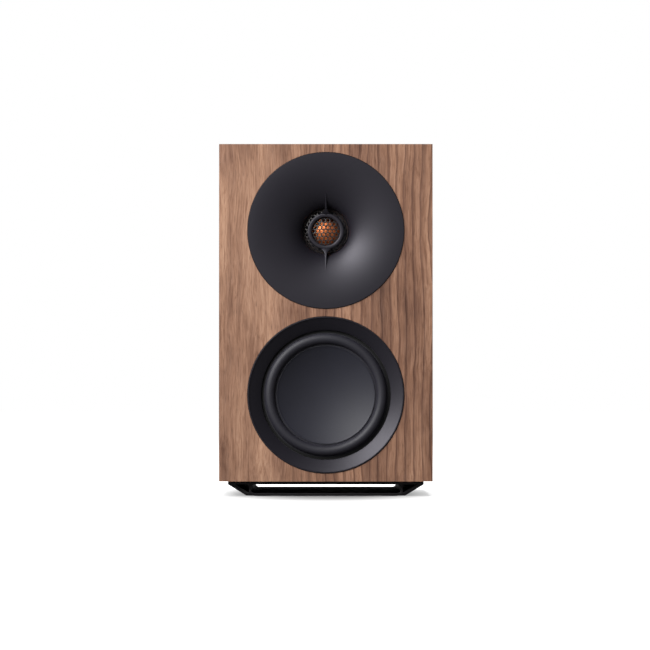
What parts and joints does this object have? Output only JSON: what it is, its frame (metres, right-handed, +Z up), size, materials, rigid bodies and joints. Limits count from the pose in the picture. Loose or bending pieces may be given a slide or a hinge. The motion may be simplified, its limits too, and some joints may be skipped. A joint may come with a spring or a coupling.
{
  "type": "bookshelf speaker",
  "caption": "Two-way bookshelf loudspeaker in a walnut-veneered ported cabinet, with a deep flared waveguide above a round dish-cone woofer, on a low black foot.",
  "frame": {"origin": "on the floor under the middle of the object's overall box", "axes": "+Z up, -Y out of the front baffle, +X to the right seen from the front"},
  "size_m": [0.2, 0.2528, 0.33],
  "materials": {
    "walnut_veneer": "satin open-grain veneer on fibreboard",
    "raw_fibreboard": "raw medium-density fibreboard",
    "satin_black_moulding": "satin moulded ABS",
    "black_wire_guard": "satin black coated metal",
    "copper_dome": "copper-coloured anodised dome",
    "black_rubber": "soft satin rubber",
    "coated_cone": "satin coated cone",
    "black_cast_alloy": "black powder coat on cast alloy",
    "coil_copper": "enamelled copper winding",
    "polyimide_former": "amber film",
    "treated_fabric": "resin-treated woven cotton",
    "zinc_plated_steel": "bright zinc plate",
    "ferrite": "sintered ferrite",
    "plain_aluminium": "machined",
    "black_screw": "black oxide steel",
    "tinned_braid": "tinned copper braid",
    "tinned_brass": "tin-plated brass",
    "gasket_foam": "closed-cell foam",
    "gold_plated_brass": "bright gold plate",
    "red_plastic": "moulded translucent-looking red",
    "black_plastic": "moulded black",
    "circuit_board": "solder-masked laminate",
    "film_capacitor_wrap": "yellow tape wrap",
    "capacitor_sleeve": "shrunk sleeve",
    "resistor_ceramic": "cast cement in ceramic",
    "wire_insulation": "PVC insulation",
    "wadding": "polyester fibre",
    "anodised_foot": "satin black anodised extrusion"
  },
  "bodies": {
    "cabinet": {"front_baffle": "walnut_veneer", "left_side_panel": "walnut_veneer", "right_side_panel": "walnut_veneer", "top_panel": "walnut_veneer", "bottom_panel": "walnut_veneer", "back_panel": "walnut_veneer", "window_brace": "raw_fibreboard", "acoustic_wadding": "wadding", "tweeter_waveguide": "satin_black_moulding", "tweeter_mesh": "black_wire_guard", "tweeter_phase_ring": "satin_black_moulding", "tweeter_surround": "black_rubber", "tweeter_frame": "satin_black_moulding", "tweeter_top_plate": "zinc_plated_steel", "tweeter_magnet": "ferrite", "tweeter_yoke": "zinc_plated_steel", "tweeter_rear_chamber": "satin_black_moulding", "tweeter_screws": "black_screw", "woofer_trim_ring": "satin_black_moulding", "woofer_basket": "black_cast_alloy", "woofer_surround": "black_rubber", "woofer_spider": "treated_fabric", "woofer_top_plate": "zinc_plated_steel", "woofer_magnet": "ferrite", "woofer_yoke": "zinc_plated_steel", "woofer_shorting_ring": "plain_aluminium", "woofer_screws": "black_screw", "woofer_tinsel_leads": "tinned_braid", "driver_terminals": "tinned_brass", "driver_gaskets": "gasket_foam", "port_flare": "satin_black_moulding", "port_tube": "satin_black_moulding", "terminal_cup": "satin_black_moulding", "rear_panel_screws": "black_screw", "post_stems": "gold_plated_brass", "post_collars": "black_plastic", "post_lock_nuts": "gold_plated_brass", "crossover_board": "circuit_board", "board_fixings": "zinc_plated_steel", "woofer_inductor": "coil_copper", "tweeter_inductor": "coil_copper", "film_capacitors": "film_capacitor_wrap", "electrolytic_capacitor": "capacitor_sleeve", "power_resistors": "resistor_ceramic", "input_wires": "wire_insulation", "driver_wires": "wire_insulation", "foot_frame": "anodised_foot", "foot_spacers": "gasket_foam", "foot_screws": "zinc_plated_steel", "foot_pads": "black_rubber"},
    "woofer_cone_assembly": {"woofer_cone": "coated_cone", "woofer_coil_former": "polyimide_former", "woofer_voice_coil": "coil_copper"},
    "tweeter_dome_assembly": {"tweeter_dome": "copper_dome", "tweeter_voice_coil": "coil_copper"},
    "red_clamp": {"red_clamp_washer": "gold_plated_brass"},
    "black_clamp": {"black_clamp_washer": "gold_plated_brass"},
    "red_nut": {"red_thumb_nut": "red_plastic"},
    "black_nut": {"black_thumb_nut": "black_plastic"}
  },
  "joints": [
    {"name": "woofer_piston", "type": "slide", "parent": "cabinet", "child": "woofer_cone_assembly", "axis": [0, -1, 0], "range_m": [-0.005, 0.005], "stiffness_N_per_m": 1000, "deforming": ["woofer_surround", "woofer_spider", "woofer_tinsel_leads"]},
    {"name": "tweeter_piston", "type": "slide", "parent": "cabinet", "child": "tweeter_dome_assembly", "axis": [0, -1, 0], "range_m": [-0.0004, 0.0004], "stiffness_N_per_m": 200, "deforming": ["tweeter_surround"]},
    {"name": "red_clamp_lift", "type": "slide", "parent": "cabinet", "child": "red_clamp", "axis": [0, 1, 0], "range_m": [0, 0.005]},
    {"name": "red_nut_turn", "type": "hinge", "parent": "red_clamp", "child": "red_nut", "pos_m": [0.00953, 0.1124, 0.062], "axis": [0, 1, 0], "range_deg": [0, 1800.2]},
    {"name": "black_clamp_lift", "type": "slide", "parent": "cabinet", "child": "black_clamp", "axis": [0, 1, 0], "range_m": [0, 0.005]},
    {"name": "black_nut_turn", "type": "hinge", "parent": "black_clamp", "child": "black_nut", "pos_m": [-0.00953, 0.1124, 0.062], "axis": [0, 1, 0], "range_deg": [0, 1800.2]}
  ],
  "couplings": [
    {"joint": "red_nut_turn", "follows": "red_clamp_lift", "rad_per_m": 6283.2},
    {"joint": "black_nut_turn", "follows": "black_clamp_lift", "rad_per_m": 6283.2}
  ]
}
